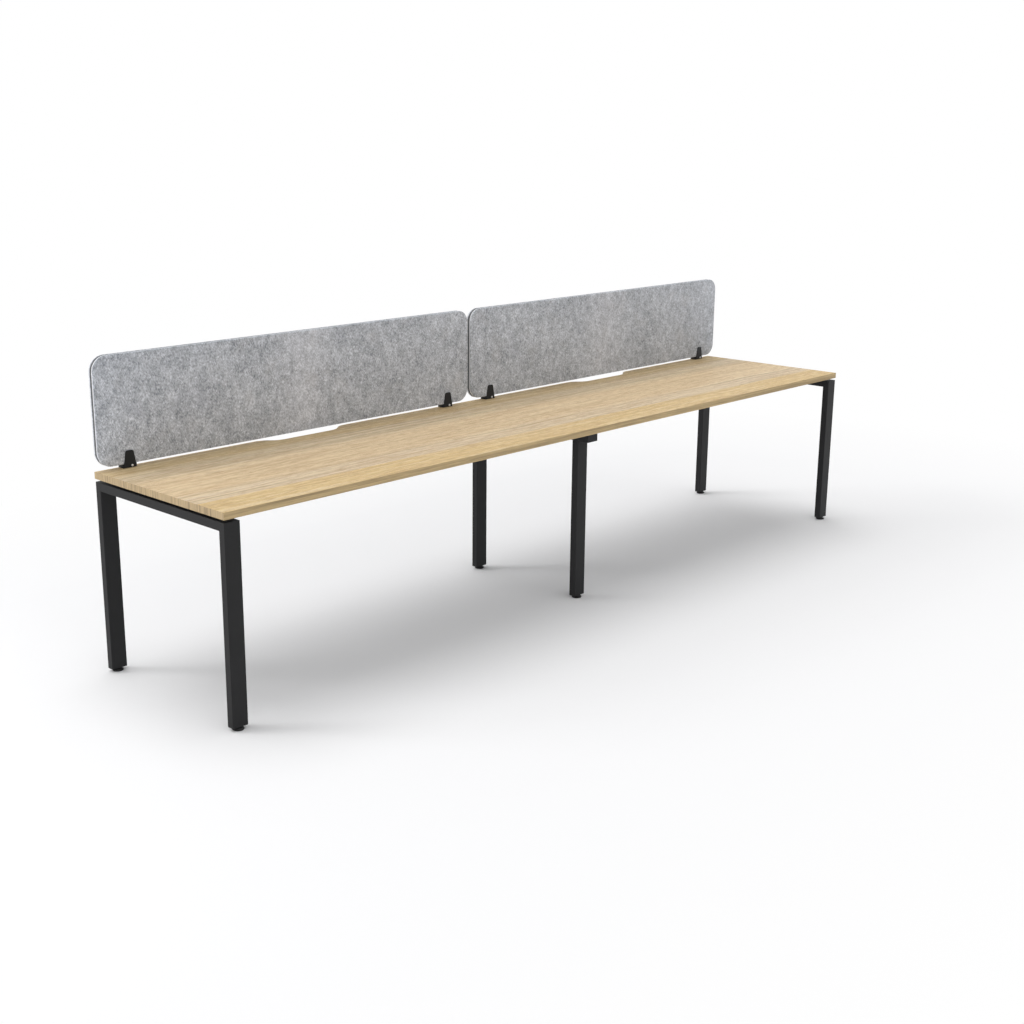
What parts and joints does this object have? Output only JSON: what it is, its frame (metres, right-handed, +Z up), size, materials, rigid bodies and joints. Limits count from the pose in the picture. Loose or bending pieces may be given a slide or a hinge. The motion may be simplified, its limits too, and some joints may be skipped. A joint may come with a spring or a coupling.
{
  "type": "single-sided office workstation",
  "caption": "Long straight desk for people side by side: oak tops with rear cable scallops on black tube frames, with felt screens clamped along the rear edge.",
  "frame": {"origin": "on the floor, under the middle of the desk", "axes": "+X along the desk to the user's right, +Y from the user to the rear, +Z up"},
  "size_m": [3.6, 0.758, 1.13],
  "materials": {
    "oak_board": "pale oak decor with lengthwise grain, satin",
    "oak_edge_band": "pale oak decor edge strip, satin",
    "grey_felt": "mottled grey pressed felt, matt",
    "screen_core": "dark grey board, matt",
    "black_steel": "fine black powder coat",
    "black_plastic": "moulded black plastic",
    "foot_steel": "black painted steel glide on a steel stem",
    "clamp_black": "black paint, satin",
    "bright_steel": "bright plated screw",
    "zinc_steel": "zinc plated screw"
  },
  "bodies": {
    "desk": {"worktop_left": "oak_board", "worktop_left_edge_band": "oak_edge_band", "left_screen_front_felt": "grey_felt", "left_screen_rear_felt": "grey_felt", "left_screen_core": "screen_core", "left_front_beam": "black_steel", "left_rear_beam": "black_steel", "worktop_right": "oak_board", "worktop_right_edge_band": "oak_edge_band", "right_screen_front_felt": "grey_felt", "right_screen_rear_felt": "grey_felt", "right_screen_core": "screen_core", "right_front_beam": "black_steel", "right_rear_beam": "black_steel", "left_cross_rail": "black_steel", "left_leg_plugs": "black_plastic", "left_front_leg": "black_steel", "left_rear_leg": "black_steel", "centre_cross_rail": "black_steel", "centre_leg_plugs": "black_plastic", "centre_front_leg": "black_steel", "centre_rear_leg": "black_steel", "right_cross_rail": "black_steel", "right_leg_plugs": "black_plastic", "right_front_leg": "black_steel", "right_rear_leg": "black_steel", "centre_rail_end_caps": "black_plastic", "left_front_outer_saddle": "black_steel", "left_front_inner_saddle": "black_steel", "left_rear_outer_saddle": "black_steel", "left_rear_inner_saddle": "black_steel", "right_front_outer_saddle": "black_steel", "right_front_inner_saddle": "black_steel", "right_rear_outer_saddle": "black_steel", "right_rear_inner_saddle": "black_steel", "left_outer_clamp": "clamp_black", "left_inner_clamp": "clamp_black", "right_outer_clamp": "clamp_black", "right_inner_clamp": "clamp_black", "top_spacers": "black_plastic", "top_screws": "zinc_steel", "saddle_screws": "zinc_steel", "clamp_fixing_screws": "zinc_steel"},
    "left_front_foot": {"left_front_foot": "foot_steel"},
    "left_rear_foot": {"left_rear_foot": "foot_steel"},
    "centre_front_foot": {"centre_front_foot": "foot_steel"},
    "centre_rear_foot": {"centre_rear_foot": "foot_steel"},
    "right_front_foot": {"right_front_foot": "foot_steel"},
    "right_rear_foot": {"right_rear_foot": "foot_steel"},
    "left_outer_clamp_jaw": {"left_outer_clamp_jaw": "clamp_black", "left_outer_clamp_screw": "bright_steel"},
    "left_inner_clamp_jaw": {"left_inner_clamp_jaw": "clamp_black", "left_inner_clamp_screw": "bright_steel"},
    "right_outer_clamp_jaw": {"right_outer_clamp_jaw": "clamp_black", "right_outer_clamp_screw": "bright_steel"},
    "right_inner_clamp_jaw": {"right_inner_clamp_jaw": "clamp_black", "right_inner_clamp_screw": "bright_steel"}
  },
  "joints": [
    {"name": "left_front_foot_height", "type": "slide", "parent": "desk", "child": "left_front_foot", "axis": [0, 0, -1], "range_m": [0, 0.015]},
    {"name": "left_rear_foot_height", "type": "slide", "parent": "desk", "child": "left_rear_foot", "axis": [0, 0, -1], "range_m": [0, 0.015]},
    {"name": "centre_front_foot_height", "type": "slide", "parent": "desk", "child": "centre_front_foot", "axis": [0, 0, -1], "range_m": [0, 0.015]},
    {"name": "centre_rear_foot_height", "type": "slide", "parent": "desk", "child": "centre_rear_foot", "axis": [0, 0, -1], "range_m": [0, 0.015]},
    {"name": "right_front_foot_height", "type": "slide", "parent": "desk", "child": "right_front_foot", "axis": [0, 0, -1], "range_m": [0, 0.015]},
    {"name": "right_rear_foot_height", "type": "slide", "parent": "desk", "child": "right_rear_foot", "axis": [0, 0, -1], "range_m": [0, 0.015]},
    {"name": "left_outer_clamp_opening", "type": "slide", "parent": "desk", "child": "left_outer_clamp_jaw", "axis": [0, -1, 0], "range_m": [0, 0.006]},
    {"name": "left_inner_clamp_opening", "type": "slide", "parent": "desk", "child": "left_inner_clamp_jaw", "axis": [0, -1, 0], "range_m": [0, 0.006]},
    {"name": "right_outer_clamp_opening", "type": "slide", "parent": "desk", "child": "right_outer_clamp_jaw", "axis": [0, -1, 0], "range_m": [0, 0.006]},
    {"name": "right_inner_clamp_opening", "type": "slide", "parent": "desk", "child": "right_inner_clamp_jaw", "axis": [0, -1, 0], "range_m": [0, 0.006]}
  ]
}
